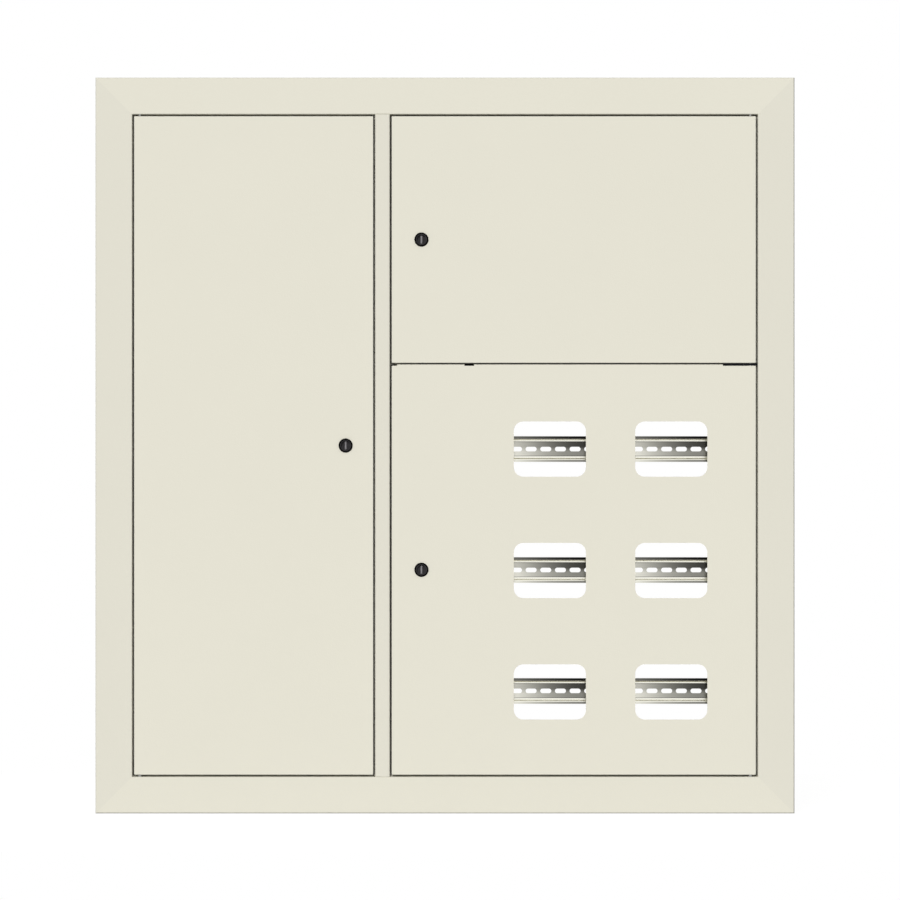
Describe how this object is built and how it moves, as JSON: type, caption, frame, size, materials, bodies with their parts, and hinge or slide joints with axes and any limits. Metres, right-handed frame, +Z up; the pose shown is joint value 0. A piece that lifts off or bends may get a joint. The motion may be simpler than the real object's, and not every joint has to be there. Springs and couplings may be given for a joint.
{
  "type": "floor distribution board",
  "caption": "Flush steel storey distribution board: framed cabinet with hinged doors for low-current gear, meters and breakers, rails behind rounded windows, quarter-turn locks.",
  "frame": {"origin": "middle of the wall fixings, on the back plane of the box", "axes": "+X right seen from the front, +Y back into the niche, +Z up"},
  "size_m": [0.95, 0.1522, 1],
  "materials": {
    "cream_paint": "fine powder coat, semi-matt",
    "zinc_plate": "galvanised sheet",
    "black_zinc": "black passivated zinc",
    "bright_steel": "bright plated",
    "lock_plastic": "black moulded plastic",
    "plug_metal": "dark die-cast",
    "bar_brass": "plain rolled brass",
    "post_plastic": "moulded insulator",
    "seal_rubber": "soft black rubber",
    "tape_foam": "black foam tape"
  },
  "bodies": {
    "cabinet": {"top_trim": "cream_paint", "bottom_trim": "cream_paint", "left_trim": "cream_paint", "right_trim": "cream_paint", "top_wall": "cream_paint", "bottom_wall": "cream_paint", "left_wall": "cream_paint", "right_wall": "cream_paint", "mullion": "cream_paint", "transom": "cream_paint", "divider": "cream_paint", "shelf": "cream_paint", "meter_panel": "cream_paint", "low_current_panel": "cream_paint", "din_rail_1": "zinc_plate", "din_rail_2": "zinc_plate", "din_rail_3": "zinc_plate", "din_rail_4": "zinc_plate", "din_rail_5": "zinc_plate", "din_rail_6": "zinc_plate", "rail_upright_1": "zinc_plate", "rail_upright_2": "zinc_plate", "rail_upright_3": "zinc_plate", "rail_upright_4": "zinc_plate", "earth_stud": "zinc_plate", "earth_nut": "zinc_plate", "middle_hinge_plate": "black_zinc", "hinge_pins": "bright_steel", "middle_hinge_pin": "bright_steel", "neutral_bar": "bar_brass", "earth_bar": "bar_brass", "bar_posts": "post_plastic", "door_seals": "seal_rubber", "stop_tape": "tape_foam"},
    "left_leaf": {"left_door": "cream_paint", "left_door_hinge_leaves": "zinc_plate", "left_lock_body": "lock_plastic", "left_lock_nut": "zinc_plate", "left_door_stiffener": "cream_paint"},
    "left_latch": {"left_lock_plug": "plug_metal", "left_lock_cam": "zinc_plate", "left_cam_screw": "zinc_plate"},
    "upper_leaf": {"upper_door": "cream_paint", "upper_door_hinge_leaves": "zinc_plate", "upper_lock_body": "lock_plastic", "upper_lock_nut": "zinc_plate"},
    "upper_latch": {"upper_lock_plug": "plug_metal", "upper_lock_cam": "zinc_plate", "upper_cam_screw": "zinc_plate"},
    "lower_leaf": {"lower_door": "cream_paint", "lower_door_hinge_leaves": "zinc_plate", "lower_lock_body": "lock_plastic", "lower_lock_nut": "zinc_plate"},
    "lower_latch": {"lower_lock_plug": "plug_metal", "lower_lock_cam": "zinc_plate", "lower_cam_screw": "zinc_plate"}
  },
  "joints": [
    {"name": "left_door_hinge", "type": "hinge", "parent": "cabinet", "child": "left_leaf", "pos_m": [-0.415, -0.145, 0], "axis": [0, 0, -1], "range_deg": [0, 110]},
    {"name": "upper_door_hinge", "type": "hinge", "parent": "cabinet", "child": "upper_leaf", "pos_m": [0.415, -0.145, 0], "axis": [0, 0, 1], "range_deg": [0, 110]},
    {"name": "lower_door_hinge", "type": "hinge", "parent": "cabinet", "child": "lower_leaf", "pos_m": [0.415, -0.145, 0], "axis": [0, 0, 1], "range_deg": [0, 110]},
    {"name": "left_lock_turn", "type": "hinge", "parent": "left_leaf", "child": "left_latch", "pos_m": [-0.135, -0.131, 0], "axis": [0, -1, 0], "range_deg": [0, 90]},
    {"name": "upper_lock_turn", "type": "hinge", "parent": "upper_leaf", "child": "upper_latch", "pos_m": [-0.032, -0.131, 0.27985], "axis": [0, 1, 0], "range_deg": [0, 90]},
    {"name": "lower_lock_turn", "type": "hinge", "parent": "lower_leaf", "child": "lower_latch", "pos_m": [-0.032, -0.131, -0.16885], "axis": [0, 1, 0], "range_deg": [0, 90]}
  ]
}
